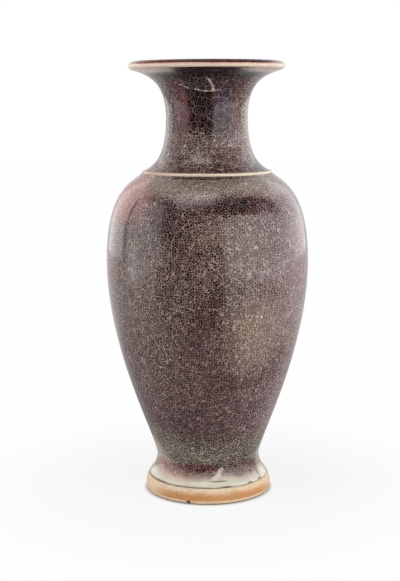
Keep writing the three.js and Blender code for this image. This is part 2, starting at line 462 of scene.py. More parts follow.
def new_group(name, inputs, outputs):
    """A shader node group with named sockets: floats, or vectors where it says so."""
    made = bpy.data.node_groups.new(name, "ShaderNodeTree")
    for sockets, way_in in ((inputs, "INPUT"), (outputs, "OUTPUT")):
        for label, value in sockets.items():
            kind = "NodeSocketVector" if value == "vector" else "NodeSocketFloat"
            socket = made.interface.new_socket(label, in_out=way_in, socket_type=kind)
            if kind == "NodeSocketFloat" and way_in == "INPUT":
                socket.default_value = value
    tree = Tree(made)
    return made, tree, tree.add("NodeGroupInput").outputs, tree.add("NodeGroupOutput")


def place_group():
    """Where a point of the vase is: degrees from the front, height and the point."""
    made, t, _, out = new_group("Vase place", {}, {"Around": 0, "Height": 0, "Point": "vector"})
    point = t.add("ShaderNodeTexCoord").outputs["Object"]
    parts = t.add("ShaderNodeSeparateXYZ", {"Vector": point}).outputs
    angle = t.math("ARCTAN2", parts["X"], t.product(parts["Y"], -1))
    t.fill(out, {"Around": t.math("DEGREES", angle), "Height": parts["Z"], "Point": point})
    return made


def pool_group():
    """A soft ragged pool of glaze around one place. A reach over 360 makes it a band."""
    made, t, into, out = new_group("Glaze pool", {
        "Around": 0, "Height": 0, "Ragged": 0.5, "At angle": 0, "At height": 0.2,
        "Reach around": 20, "Reach up": 0.02, "Softness": 0.5, "Strength": 1,
    }, {"Mask": 0})
    turn = t.math("SUBTRACT", into["Around"], into["At angle"])
    turn = t.add("ShaderNodeMath", {0: turn, 1: 180, 2: -180}, operation="WRAP").outputs[0]
    across = t.math("DIVIDE", turn, into["Reach around"])
    rise = t.math("DIVIDE", t.math("SUBTRACT", into["Height"], into["At height"]),
                  into["Reach up"])
    far = t.math("SQRT", t.math("ADD", t.product(across, across), t.product(rise, rise)))
    far = t.math("ADD", far, t.product(t.math("SUBTRACT", into["Ragged"], 0.5), 1.6))
    mask = t.step(far, t.math("ADD", 1, into["Softness"]),
                  t.math("SUBTRACT", 1, into["Softness"]))
    t.fill(out, {"Mask": t.product(mask, into["Strength"])})
    return made


def crackle_group():
    """A net of fine cracks: its lines, the milk beside them and a tone for each cell."""
    made, t, into, out = new_group("Crackle net", {
        "Point": "vector", "Cell size": 0.003, "Line width": 0.1, "Wander": 0.3,
    }, {"Lines": 0, "Haze": 0, "Tone": 0})
    rate = t.math("DIVIDE", 1, into["Cell size"])
    scaled = t.vector("SCALE", into["Point"], scale=rate)
    bend = t.add("ShaderNodeTexNoise", {
        "Vector": scaled, "Scale": 0.7, "Detail": 1}).outputs["Color"]
    bend = t.vector("SUBTRACT", bend, (0.5, 0.5, 0.5))
    bend = t.vector("SCALE", bend, scale=into["Wander"])
    place = t.vector("ADD", scaled, bend)
    even = {"Vector": place, "Scale": 1, "Randomness": 0.75}
    edge = t.add("ShaderNodeTexVoronoi", even, feature="DISTANCE_TO_EDGE").outputs["Distance"]
    tone = t.add("ShaderNodeTexVoronoi", even, feature="F1").outputs["Color"]
    wide = t.product(into["Line width"], t.step(
        t.noise(scaled, 0.35, 1), 0.3, 0.7, 0.75, 1.25))
    t.fill(out, {"Lines": t.step(edge, wide, t.product(wide, 0.35)),
                 "Haze": t.step(edge, t.product(wide, 3.2), 0), "Tone": t.channel(tone, 0)})
    return made


def specks_group():
    """Round specks scattered one to a cell, in a share of the cells."""
    made, t, into, out = new_group("Specks", {
        "Point": "vector", "Spacing": 0.004, "Radius": 0.2, "Share": 0.5,
    }, {"Mask": 0})
    rate = t.math("DIVIDE", 1, into["Spacing"])
    scaled = t.vector("SCALE", into["Point"], scale=rate)
    cells = t.add("ShaderNodeTexVoronoi", {"Vector": scaled, "Scale": 1}, feature="F1").outputs
    near = t.step(cells["Distance"], into["Radius"], t.product(into["Radius"], 0.4))
    chosen = t.math("LESS_THAN", t.channel(cells["Color"], 1), into["Share"])
    t.fill(out, {"Mask": t.product(near, chosen)})
    return made


GROUPS = {}


def groups():
    """The shared node groups, made once."""
    if not GROUPS:
        GROUPS.update(place=place_group(), pool=pool_group(),
                      crackle=crackle_group(), specks=specks_group())
    return GROUPS


def empty_tree(owner):
    """The node tree of a new material or world, cleared."""
    owner.use_nodes = True
    tree = Tree(owner.node_tree)
    tree.nodes.clear()
    return tree


def new_material(name):
    material = bpy.data.materials.new(name)
    tree = empty_tree(material)
    surface = tree.add("ShaderNodeBsdfPrincipled")
    tree.add("ShaderNodeOutputMaterial", {"Surface": surface.outputs["BSDF"]})
    return material, tree, surface


def vase_material(name):
    """A new material with its tree, its surface, and where a point of the vase is."""
    material, t, surface = new_material(name)
    place = t.group("place")
    return material, t, surface, place, place["Point"]


def lay_pools(t, place, ragged, base, pools):
    """Lays named colours over a base, each in its pool."""
    for name, angle, height, around, up, softness, strength in pools:
        mask = t.group("pool", Around=place["Around"], Height=place["Height"],
                       Ragged=ragged, At_angle=angle, At_height=height, Reach_around=around,
                       Reach_up=up, Softness=softness, Strength=strength)["Mask"]
        base = t.blend(mask, base, getattr(colours(), name))
    return base


# Pools of the body glaze: colour, degrees from the front, height, reach around,
# reach up, softness and strength
BODY_POOLS = [
    ("smoke", -48, 0.2, 26, 0.075, 0.6, 0.8),
    # The ash at the far left is partly milky glaze and partly painted reflection, lightening
    # the vase's left edge.
    ("ash", -82, 0.2, 18, 0.09, 0.6, 0.8),
    ("mauve", 44, 0.215, 34, 0.05, 0.6, 0.8),
    ("tan", 26, 0.15, 20, 0.032, 0.5, 0.85),
    ("tan", 20, 0.226, 12, 0.014, 0.6, 0.25),
    ("ash", 64, 0.2, 17, 0.07, 0.7, 0.8),
    ("umber", -11, 0.215, 24, 0.045, 0.4, 0.85),
    ("plum", -11, 0.232, 20, 0.03, 0.9, 0.5),
    ("plum", 3, 0.15, 12, 0.042, 0.8, 0.85),
    ("smoke", 17, 0.195, 7, 0.018, 0.6, 0.6),
    ("mauve", -44, 0.252, 14, 0.014, 0.6, 0.6),
    ("plum", -29, 0.256, 8, 0.014, 0.5, 0.9),
    ("sable", -24, 0.246, 9, 0.016, 0.6, 0.5),
    ("olive", 0, 0.2765, 720, 0.0095, 0.45, 0.9),
    ("lilac", -7, 0.2645, 22, 0.005, 0.9, 0.25),
    # Painted highlight: two faint pale strokes on the front of the shoulder, standing for the
    # lower edge of the top softbox's glint.
    ("crack", -14, 0.265, 5, 0.0003, 0.3, 0.15),
    ("crack", -7, 0.2636, 5, 0.0003, 0.3, 0.15),
    # Painted shade under the neck ring, partly dark glaze pooled there: a thin soot line just
    # below the ridge.
    ("soot_and_shade", 3, 0.2829, 40, 0.0012, 0.5, 0.95),
    ("plum", 18, 0.261, 18, 0.009, 0.4, 0.95),
    ("oxblood", 19, 0.262, 16, 0.008, 0.5, 0.75),
    ("sable", 15, 0.2622, 12, 0.0055, 0.5, 0.85),
    ("smoke", 16, 0.25, 14, 0.0045, 0.6, 0.6),
    ("tan", 0, 0.236, 8, 0.008, 0.8, 0.45),
    ("mauve", 46, 0.258, 16, 0.009, 0.6, 0.6),
    ("lilac", 52, 0.259, 19, 0.01, 0.6, 0.6),
    ("ash", 60, 0.2745, 26, 0.0065, 0.8, 0.55),
    ("celadon", 50, 0.2755, 24, 0.0055, 0.8, 0.12),
    ("ash", 50, 0.165, 22, 0.034, 0.8, 0.4),
    ("celadon", -84, 0.205, 15, 0.09, 0.8, 0.24),
    ("salmon", -66, 0.266, 20, 0.017, 0.8, 0.95),
    ("wine", -66, 0.262, 18, 0.013, 0.8, 0.36),
    # Painted reflection: these six rows draw a thin dark line curving down the left of the
    # shoulder, the dark gap beside the left softbox mirrored in the glaze.
    ("oxblood", -47.6, 0.265, 0.9, 0.0022, 0.4, 0.6),
    ("oxblood", -49.3, 0.2612, 1.2, 0.0028, 0.4, 0.95),
    ("sable", -50.6, 0.2575, 1.2, 0.0034, 0.4, 0.9),
    ("sable", -51.5, 0.2525, 1.2, 0.0042, 0.4, 0.9),
    ("soot_and_shade", -52, 0.2455, 1, 0.0055, 0.4, 0.75),
    ("soot_and_shade", -52.2, 0.235, 0.9, 0.009, 0.4, 0.5),
    ("oxblood", 18, 0.112, 26, 0.009, 0.7, 0.7),
    ("wine", 0, 0.085, 54, 0.045, 0.9, 0.35),
    ("plum", 0, 0.074, 30, 0.024, 0.9, 0.75),
    ("mauve", -54, 0.115, 22, 0.035, 0.7, 0.55),
    ("mauve", 50, 0.085, 26, 0.05, 0.8, 0.75),
    ("lilac", 46, 0.08, 20, 0.034, 0.9, 0.18),
    ("ash", 74, 0.09, 20, 0.05, 0.8, 0.75),
    ("umber", 0, 0.044, 720, 0.012, 0.8, 0.5),
    ("smoke", -55, 0.047, 28, 0.014, 0.8, 0.75),
    ("olive", -8, 0.041, 26, 0.006, 0.8, 0.55),
    ("mauve", 42, 0.046, 18, 0.012, 0.8, 0.6),
    ("celadon", 0, 0.013, 720, 0.0115, 0.35, 0.95),
    ("celadon", -74, 0.036, 16, 0.013, 0.6, 0.85),
    ("celadon", 76, 0.032, 12, 0.012, 0.5, 0.85),
    ("salmon", -42, 0.024, 30, 0.0045, 0.9, 0.5),
    ("crack", -58, 0.0305, 16, 0.005, 0.6, 0.55),
    ("salmon", -58, 0.03, 16, 0.005, 0.6, 0.2),
    ("wine", -56, 0.0292, 20, 0.0024, 0.7, 0.35),
    ("wine", -38, 0.0265, 12, 0.003, 0.9, 0.5),
    ("wine", -10, 0.03, 27, 0.0038, 0.5, 0.95),
    ("mauve", -12, 0.0235, 26, 0.0035, 0.9, 0.5),
    ("wine", 46, 0.027, 26, 0.0075, 0.6, 0.8),
    ("plum", 62, 0.0245, 3.5, 0.0062, 0.6, 0.85),
    ("plum", 34, 0.025, 6, 0.0045, 0.5, 0.6),
    ("celadon", 14.5, 0.0292, 1.8, 0.0016, 0.4, 0.8),
    ("celadon", 12.8, 0.0272, 2.2, 0.002, 0.4, 0.85),
    ("celadon", 11, 0.0252, 2.6, 0.0022, 0.4, 0.85),
    ("celadon", 9, 0.0234, 3, 0.002, 0.4, 0.85),
    ("celadon", 6.5, 0.0218, 3.4, 0.0018, 0.4, 0.85),
    ("umber", 11, 0.0193, 9, 0.0006, 0.5, 0.75),
    # Partly dirt and partly painted shade: soot along the glaze's lower edge, darkening it
    # where it meets the groove.
    ("soot_and_shade", -66, 0.015, 22, 0.0009, 0.5, 0.75),
    ("soot_and_shade", -22, 0.0149, 26, 0.0006, 0.6, 0.5),
    ("soot_and_shade", 17, 0.015, 8, 0.0009, 0.5, 0.8),
    ("soot_and_shade", 44, 0.0152, 3, 0.001, 0.5, 0.8),
    ("soot_and_shade", 60, 0.0154, 4, 0.0011, 0.5, 0.75),
]

# Pools of the neck glaze, laid out the same way
NECK_POOLS = [
    ("plum", 0, 0.358, 60, 0.012, 0.6, 0.7),
    ("sable", -4, 0.361, 40, 0.01, 0.7, 0.8),
    ("sable", -8, 0.342, 20, 0.028, 0.45, 0.9),
    ("oxblood", 18, 0.338, 12, 0.024, 0.6, 0.85),
    ("slate", 20, 0.34, 12, 0.02, 0.6, 0.9),
    ("lilac", 20, 0.342, 11, 0.015, 0.6, 0.55),
    ("wine", -37, 0.332, 11, 0.034, 0.6, 1),
    ("mauve", 54, 0.336, 11, 0.026, 0.6, 0.85),
    ("wine", 46, 0.338, 8, 0.024, 0.8, 0.7),
    ("mauve", -64, 0.325, 12, 0.03, 0.7, 0.5),
    ("ash", 76, 0.325, 12, 0.03, 0.7, 0.6),
    ("smoke", -6, 0.306, 30, 0.012, 0.7, 0.6),
    ("mauve", 34, 0.305, 22, 0.012, 0.7, 0.75),
    ("mauve", -44, 0.302, 16, 0.016, 0.6, 0.75),
    ("wine", -40, 0.312, 9, 0.012, 0.8, 0.65),
    ("tan", -42, 0.296, 5, 0.002, 0.8, 0.5),
    ("salmon", -62, 0.292, 16, 0.006, 0.8, 0.35),
    ("plum", 0, 0.2915, 44, 0.006, 0.7, 0.85),
    ("smoke", -9, 0.304, 14, 0.011, 0.9, 0.85),
    ("ash", 30, 0.304, 16, 0.011, 0.8, 0.35),
    ("ash", 50, 0.308, 12, 0.014, 0.8, 0.75),
    # Painted shade under the lip: the soot and slate rows below, and the thin soot row under
    # the roll, darken the band where the glaze faces down, with a slate tint.
    ("soot_and_shade", 0, 0.3685, 66, 0.007, 0.4, 0.95),
    ("slate", 2, 0.3695, 56, 0.0034, 0.5, 0.85),
    ("smoke", -80, 0.366, 22, 0.012, 0.6, 0.85),
    ("smoke", 82, 0.366, 22, 0.012, 0.6, 0.85),
    ("soot_and_shade", 0, 0.3722, 58, 0.0009, 0.4, 0.95),
    ("peach", -60, 0.3722, 34, 0.003, 0.4, 0.96),
    ("peach", 62, 0.372, 30, 0.0021, 0.4, 0.8),
    ("cream", 0, 0.286, 720, 0.0006, 0.5, 0.7),
]

# Single pale cracks of the neck, laid out the same way but for colour and softness
NECK_CRACKS = [
    (-12, 0.3556, 3, 0.0004, 0.85),
    (-7, 0.3548, 3.4, 0.0003, 0.8),
    (-1, 0.3543, 3.8, 0.0004, 0.85),
    (5, 0.3542, 3.8, 0.0005, 0.9),
    (11, 0.3546, 3.4, 0.0003, 0.8),
    (15, 0.3553, 2.6, 0.0003, 0.7),
    (7.6, 0.3556, 1.9, 0.0018, 0.95),
    (6.8, 0.3578, 1.2, 0.0016, 0.9),
    (5.4, 0.3597, 0.8, 0.0015, 0.75),
    (3.8, 0.3616, 0.9, 0.0014, 0.8),
    (2, 0.3633, 0.9, 0.0012, 0.75),
    (0, 0.3648, 0.8, 0.001, 0.65),
    (-36, 0.3612, 3, 0.0003, 0.7),
    (-31, 0.3596, 3.4, 0.0005, 0.85),
    (-26, 0.358, 2.8, 0.0003, 0.7),
    (-23, 0.357, 1.2, 0.0007, 0.9),
]
CRACK_SOFTNESS = 0.3
NECK_POOLS += [("crack", *row[:4], CRACK_SOFTNESS, row[4]) for row in NECK_CRACKS]
# Depth of a full step of bump in the glaze
GLAZE_RELIEF = 0.0006


def crackle_glaze(name, cell, line_width, pools, long_cell, long_share, dark_vein, shine):
    """Plum glaze that breaks to smoky grey and mauve, under a pale crackle.

    A second net of long_cell crosses the first, shown by long_share. dark_vein is how
    pale the lines are over the darkest glaze, and shine the strength of the gloss.
    """
    look, c = bpy.context.scene.vase_glaze, colours()
    material, t, surface, place, point = vase_material(name)
    clouds = t.noise(point, 18, 4, 0.6)
    runs = t.noise(t.squeeze(point, 0.22), 95, 3, 0.6)
    ragged = t.blend(0.45, clouds, runs)
    base = t.blend(t.step(clouds, 0.38, 0.62, 0, 0.45), c.plum, c.umber)
    base = t.blend(t.step(runs, 0.42, 0.66, 0, 0.3), base, c.mauve)
    base = lay_pools(t, place, ragged, base, pools)
    net = t.group("crackle", Point=point, Cell_size=cell, Line_width=line_width, Wander=0.35)
    wide = t.group("crackle", Point=point, Cell_size=long_cell, Line_width=0.026, Wander=0.12)
    calm = t.step(t.math("ADD", place["Height"], t.product(
        t.math("SUBTRACT", runs, 0.5), 0.02)), 0.0305, 0.0205)
    light = t.add("ShaderNodeRGBToBW", {"Color": base}).outputs[0]
    milk = t.step(light, 0.03, 0.14, 0, 0.4)
    tone = t.math("ADD", t.step(net["Tone"], 0, 1, 0, 0.28), milk)
    tone = t.math("MAXIMUM", tone, t.product(calm, 0.97))
    red_tone = t.math("ADD", t.product(tone, 0.85), 0.15)
    tint = t.add("ShaderNodeCombineColor", {0: red_tone, 1: tone, 2: tone}).outputs[0]
    cells = t.blend(1, base, tint, "MULTIPLY")
    patchy = t.step(t.noise(point, 120, 2), 0.25, 0.75, 0.8, 1)
    dashes = t.step(t.noise(point, 560, 1), 0.36, 0.6, 0.5, 1)
    low = t.step(place["Height"], 0.07, 0.045)
    vein = t.blend(low, c.crack, c.celadon)
    share_of_vein = t.step(t.channel(base, 1), 0.004, 0.045, dark_vein, 0.7)
    pale = t.blend(1, base, (2.3, 2, 2), "MULTIPLY")
    pale = t.blend(share_of_vein, pale, vein)
    fierce = t.math("SUBTRACT", 1, t.product(calm, 0.75))
    fierce = t.product(fierce, t.step(place["Height"], 0.364, 0.368, 1, 0.3))
    shown = t.blend(t.product(net["Haze"], 0.05), cells, pale)
    shown = t.blend(t.product(net["Lines"], patchy, dashes, fierce), shown, pale)
    shown = t.blend(t.product(wide["Lines"], patchy, fierce, long_share), shown,
                    t.blend(0.2, pale, vein))
    sparkle = t.group("specks", Point=point, Spacing=cell * 0.9, Radius=0.24,
                      Share=0.14)["Mask"]
    shown = t.blend(t.product(sparkle, 0.75), shown, c.crack)
    rough = t.step(t.noise(point, 160, 2), 0.3, 0.7,
                   look.roughness * 0.8, look.roughness * 1.3)
    t.fill(surface, {"Base Color": shown, "Roughness": rough, "Specular IOR Level": shine})
    t.bump(surface, look.ripple, GLAZE_RELIEF, t.math(
        "ADD", t.noise(point, 210, 1), t.product(net["Lines"], -0.25)))
    return material


def pale_glaze():
    """Glaze run thin to cream over the neck ring and the lip."""
    c = colours()
    material, t, surface, place, point = vase_material("Pale edge glaze")
    soft = t.noise(point, 60, 3)
    base = t.blend(t.step(place["Height"], 0.3, 0.34), c.cream, c.peach)
    base = t.blend(t.step(soft, 0.45, 0.7, 0, 0.4), base, c.cream)
    base = lay_pools(t, place, soft, base, [
        ("salmon", 0, 0.3768, 62, 0.0008, 0.7, 0.6),
        ("rim", 4, 0.3778, 58, 0.0008, 0.4, 0.95),
        ("rim", -44, 0.3774, 15, 0.0006, 0.5, 0.75),
        ("salmon", -66, 0.285, 26, 0.01, 0.8, 0.55),
        ("olive", 10, 0.3732, 60, 0.0008, 0.9, 0.45),
    ])
    t.fill(surface, {"Base Color": base, "Roughness": 0.22})
    t.bump(surface, 0.15, GLAZE_RELIEF, t.noise(point, 300, 2))
    return material


def lining_glaze():
    """Dark red-brown glaze, thin and broken over the crest, worn pale outside it."""
    c, s = colours(), sizes()
    material, t, surface, place, point = vase_material("Lining glaze")
    runs = t.noise(t.squeeze(point, 0.3), 110, 3)
    base = t.blend(t.step(runs, 0.35, 0.7), c.rim, c.plum)
    base = t.blend(t.step(t.noise(point, 240, 2), 0.55, 0.72, 0, 0.35), base, c.mauve)
    net = t.group("crackle", Point=point, Cell_size=0.004, Line_width=0.07, Wander=0.4)
    base = t.blend(t.product(net["Lines"], 0.15), base, c.crack)
    worn = lay_pools(t, place, runs, base, [
        ("salmon", -60, 0.3775, 34, 0.0016, 0.7, 0.25),
        ("peach", -94, 0.3782, 22, 0.002, 0.6, 0.95),
        ("peach", 94, 0.3778, 28, 0.0022, 0.6, 0.9),
    ])
    parts = t.add("ShaderNodeSeparateXYZ", {"Vector": point}).outputs
    radius = t.math("SQRT", t.math("ADD", t.product(parts["X"], parts["X"]),
                                   t.product(parts["Y"], parts["Y"])))
    outside = t.step(radius, s.crest_radius - 0.0025, s.crest_radius - 0.001)
    t.fill(surface, {"Base Color": t.blend(outside, base, worn), "Roughness": 0.18,
                     "Specular IOR Level": 0.15})
    return material


def biscuit():
    """Unglazed foot ring: flashed orange, pale above and along its worn lower edge."""
    c, s = colours(), sizes()
    material, t, surface, place, point = vase_material("Fired foot ring")
    height = place["Height"]
    grain = t.noise(point, 900, 3, 0.7)
    broad = t.noise(t.squeeze(point, 2.5), 45, 4, 0.6)
    wobble = t.product(t.math("SUBTRACT", broad, 0.5), 0.005)
    level = t.math("ADD", height, wobble)
    base = t.blend(t.step(level, s.foot_ring_height * 0.5, s.foot_ring_height),
                   c.biscuit, c.pale_biscuit)
    base = t.blend(t.step(height, 0.0042, 0.003, 0, 0.9), base, c.pale_biscuit)
    base = t.blend(t.product(t.step(grain, 0.5, 0.75), 0.35), base, c.cream)
    scorched = t.noise(t.squeeze(point, 2), 190, 3, 0.65)
    base = t.blend(t.step(scorched, 0.38, 0.8, 0, 0.3), base, c.umber)
    base = lay_pools(t, place, broad, base, [
        ("pale_biscuit", -76, 0.0085, 26, 0.008, 0.6, 0.9),
        ("pale_biscuit", 84, 0.0095, 20, 0.006, 0.6, 0.7),
        ("biscuit", 0, 0.0062, 62, 0.003, 0.7, 0.15),
        ("soot_and_shade", -18.5, 0.0022, 1.6, 0.0012, 0.4, 0.95),
        ("soot_and_shade", -30, 0.009, 0.3, 0.0026, 0.4, 0.5),
    ])
    # Painted shade: the lowest millimetre of the ring is darkened to soot where it meets the
    # floor.
    base = t.blend(t.product(t.step(height, 0.0011, 0.0004), 0.85), base, c.soot_and_shade)
    t.fill(surface, {"Base Color": base, "Roughness": 0.8})
    t.bump(surface, 0.35, 0.0004, grain)
    return material


def clay():
    """Fired clay, seen only in the groove above the foot ring, where dirt gathers."""
    c = colours()
    material, t, surface, _, point = vase_material("Fired clay")
    dirt = t.step(t.noise(point, 70, 3), 0.25, 0.5)
    t.fill(surface, {"Base Color": t.blend(dirt, c.clay, c.soot_and_shade), "Roughness": 0.9})
    return material


# Pieces


class VASE_OT_foot_ring(bpy.types.Operator):
    """Turn the unglazed ring that the vase stands on"""

    bl_idname = "vase.foot_ring"
    bl_label = "Foot Ring"

    def execute(self, context):
        s = sizes()
        r, h = s.foot_radius, s.foot_ring_height
        inner = r - s.foot_ring_width
        # From the worn lower edge, over the side, to the bevel under the groove
        outside = [Vector(p) for p in (
            (r - 0.0024, 0), (r - 0.0011, 0.0015), (r - 0.0003, 0.0028), (r, h / 2),
            (r - 0.0009, h - 0.0029), (r - 0.0016, h - 0.001), (r - 0.0029, h))]
        smooth = outside[:3]
        for low, high in (outside[2:4], outside[3:5]):
            smooth += [low.lerp(high, i / 5) for i in range(1, 6)]
        smooth += rounded(*outside[4:])[1:]
        inside = [(inner, h), (inner + 0.0013, 0.0012), (inner + 0.0025, 0)]
        chip_turn, chip_reach, chip_size = -18.5, 1.4, 0.0016
        wear, wear_height, wall_clear = 0.00025, 0.004, 0.004

        def chipped(angle, radius, height):
            turn = (math.degrees(angle) + 180) % 360 - 180
            chip = math.exp(-((turn - chip_turn) / chip_reach) ** 2 - (height / chip_size) ** 2)
            worn = wear * waver(angle, seed=3, rate=9) * (1 - min(height / wear_height, 1))
            hold = 1 if radius > inner + wall_clear else 0
            return radius - hold * (chip_size * chip + abs(worn)), height

        turn_piece("foot_ring", "_turned", biscuit(), smooth + inside, shape=chipped)
        return {"FINISHED"}


class VASE_OT_clay_body(bpy.types.Operator):
    """Turn the clay sections that lie under the glaze, and the floor"""

    bl_idname = "vase.clay_body"
    bl_label = "Clay Sections"

    def execute(self, context):
        s, parts, material = sizes(), outline(), clay()
        # The clay is hidden, so half the flats are enough
        flats = s.flats // 2
        skirt, ring, mouth = parts["skirt"], parts["ring"], parts["mouth"]
        half = len(ring) // 2
        sections = {
            "lower_body": parts["lower"],
            "upper_body": parts["shoulder"] + ring[1:half + 1],
            "neck": ring[half:] + parts["neck"][1:],
            "mouth": mouth[:flare_end(mouth) + 1],
        }
        for name, stations in sections.items():
            profile = [p.clay() for p in stations] + [p.inner() for p in reversed(stations)]
            turn_piece(name, "_clay", material, profile, flats)
        low, high, top_z, seat = floor_seat(parts)
        start = Vector((skirt[0].clay().x, s.foot_ring_height))
        wall = [start] + [p.clay() for p in skirt] + [high, seat[1], seat[0], low]
        turn_piece("foot_section", "_clay", material, wall, flats)
        floor = [(0, s.floor_height), *seat, (0, top_z)]
        turn_piece("base_floor", "_clay", material, floor, flats)
        return {"FINISHED"}


class VASE_OT_outer_glaze(bpy.types.Operator):
    """Lay the crackled outer glaze over the body and the neck"""

    bl_idname = "vase.outer_glaze"
    bl_label = "Outer Glaze"

    def execute(self, context):
        s, parts = sizes(), outline()
        look = context.scene.vase_glaze
        body = parts["skirt"] + parts["lower"][1:] + parts["shoulder"][1:]
        edge_z = s.foot_ring_height + s.groove_height
        waver_height, bead, bead_rise, bead_reach = 0.004, 0.0005, 0.0022, 0.0016
        wall_clear, edge_round = 0.004, 0.0002

        def uneven(angle, radius, height):
            near = max(0.0, 1 - (height - edge_z) / waver_height)
            drop = waver(angle, seed=1, rate=6) + 0.7 * waver(angle, seed=2, rate=22)
            roll = bead * math.exp(-((height - edge_z - bead_rise) / bead_reach) ** 2)
            keep = 1 if radius > s.skirt_radius - wall_clear else 0
            fall = min(max(s.edge_waver * drop, 0.0), s.groove_height * 0.75) * near ** 2
            return radius + roll * keep, height - fall

        outside = rounded(body[0].clay(), body[0].inset(edge_round) - Vector((0, edge_round)),
                          body[0].point, 4)[:-1] + [p.point for p in body]
        back = [p.inset(p.glaze - HAIR) for p in reversed(body[1::2])]
        material = crackle_glaze(
            "Body crackle glaze", look.body_cell, look.body_line, BODY_POOLS,
            long_cell=0.009, long_share=0.3, dark_vein=0.28, shine=0.46)
        turn_piece("body_glaze", "_coat", material, outside + back, shape=uneven)
        neck = parts["neck"] + parts["mouth"][1:]
        back = [p.inset(p.glaze - HAIR) for p in reversed(neck[::2])]
        material = crackle_glaze(
            "Neck crackle glaze", look.neck_cell, look.neck_line, NECK_POOLS,
            long_cell=0.0066, long_share=0.7, dark_vein=0.14, shine=0.37)
        face = [p.point for p in neck]
        turn_piece("neck_glaze", "_coat", material, face + back)
        return {"FINISHED"}


class VASE_OT_pale_edges(bpy.types.Operator):
    """Lay the raised ring at the neck's root and the rolled lip"""

    bl_idname = "vase.pale_edges"
    bl_label = "Neck Ring and Lip"

    def execute(self, context):
        s, parts, material = sizes(), outline(), pale_glaze()
        ring, lip = parts["ring"], parts["mouth"]
        middle = ring[len(ring) // 2]
        outside = rounded(ring[0].clay(), middle.inset(-s.ridge), ring[-1].clay(), 12)
        unevenness = 0.0002

        def uneven(angle, radius, height):
            lift = unevenness * waver(angle, seed=5, rate=5)
            return radius - abs(lift), height + lift * 0.5

        profile = outside + [middle.clay()]
        turn_piece("neck_ring", "_ridge", material, profile, shape=uneven)
        start = flare_end(lip)
        under = [p.clay() for p in lip[start:]]
        top_z = lip[-1].point.y + s.lip_edge_height
        top = Vector((s.lip_radius - LIP_EDGE_INSET, top_z))
        bulge = Vector((s.lip_radius, (under[-1].y + top.y) / 2))
        crest = Vector((s.crest_radius, top_z + s.lip_crown_height - s.inner_glaze))
        profile = under + rounded(under[-1], bulge, top, 12)[1:] + [crest, lip[start].inner()]
        turn_piece("lip_roll", "_turned", material, profile)
        return {"FINISHED"}


class VASE_OT_lining(bpy.types.Operator):
    """Lay the lining glaze inside the vase and the glaze under its floor"""

    bl_idname = "vase.lining"
    bl_label = "Lining Glaze"

    def execute(self, context):
        s, parts, material = sizes(), outline(), lining_glaze()
        _, _, floor_z, (under_edge, floor_edge) = floor_seat(parts)
        mouth, coat = parts["mouth"], s.inner_glaze
        inside = parts["lower"] + parts["shoulder"][1:] + parts["ring"][1:]
        inside += parts["neck"][1:] + mouth[1:flare_end(mouth) + 1]
        inside = inside[::2] + [inside[-1]]
        top_z = mouth[-1].point.y + s.lip_edge_height
        edge = Vector((s.lip_radius - LIP_EDGE_INSET, top_z + HAIR))
        crest = Vector((s.crest_radius, top_z + s.lip_crown_height))
        brow_inset, brow_rise, roll_lift = 0.0022, 0.72, 0.0012
        brow = Vector((s.lip_radius - brow_inset, top_z + s.lip_crown_height * brow_rise))
        back_crest = Vector((s.crest_radius, crest.y - coat + HAIR))
        over = rounded(edge, brow, crest, 10)
        last = inside[-1].lining()
        roll = rounded(crest, crest.lerp(last, 0.5) + Vector((0, roll_lift)), last, 6)
        back = [(0, floor_z + HAIR), (floor_edge.x - HAIR, floor_z + HAIR)]
        back += [p.inset(p.glaze + p.wall + HAIR) for p in inside] + [back_crest]
        face = over + roll[1:] + [p.lining() for p in reversed(inside[:-1])]
        face += [(floor_edge.x - coat, floor_z + coat), (0, floor_z + coat)]
        turn_piece("interior_glaze", "_coat", material, back + face)
        under, width, bevel, bevel_top = s.floor_height, under_edge.x, 0.0004, coat * 0.6
        turn_piece("underside_glaze", "_coat", material, [
            (0, under - coat), (width - bevel, under - coat),
            (width, under - bevel_top), (width, under - HAIR), (0, under - HAIR)])
        return {"FINISHED"}


# Studio

# Flat strips in each curved card
WALL_STRIPS = 24
# The foot's shade on the floor mostly fades between two radii, and ends at the third
CONTACT_START, CONTACT_END, SHADE_END = 0.0555, 0.059, 0.3
# Sensor width in mm, then the focal length and the picture's longer side in pixels
SENSOR, FOCAL_PIXELS, PICTURE_PIXELS = 36.0, 1200.0, 581.0


def wall_piece(name, start, end, low, high):
    """A curved wall or floor card around the vase between two angles from the front.

    low and high are the radius and the height of its two edges.
    """
    verts = []
    for i in range(WALL_STRIPS + 1):
        angle = math.radians(start + (end - start) * i / WALL_STRIPS)
        verts += [(r * math.sin(angle), -r * math.cos(angle), z) for r, z in (low, high)]
    faces = [(2 * i, 2 * i + 2, 2 * i + 3, 2 * i + 1) for i in range(WALL_STRIPS)]
    mesh = bpy.data.meshes.new(name)
    mesh.from_pydata(verts, [], faces)
    piece = put_in_scene(name, mesh)
    return piece


def softbox(name, radiance, angle, distance, height, width, tall, lean, aim_height=0.2):
    """A rectangular lamp that faces the vase's axis from an angle around it."""
    data = bpy.data.lights.new(name, "AREA")
    data.shape, data.size, data.size_y = "RECTANGLE", width, tall
    data.energy = radiance * math.pi * width * tall
    lamp = put_in_scene(name, data)
    turn = math.radians(angle)
    lamp.location = (distance * math.sin(turn), -distance * math.cos(turn), height)
    aim = Vector((0, 0, aim_height)) - lamp.location
    lamp.rotation_euler = aim.to_track_quat("-Z", "Y").to_euler()
    lamp.rotation_euler.rotate_axis("Z", math.radians(lean))
    lamp.visible_camera = False


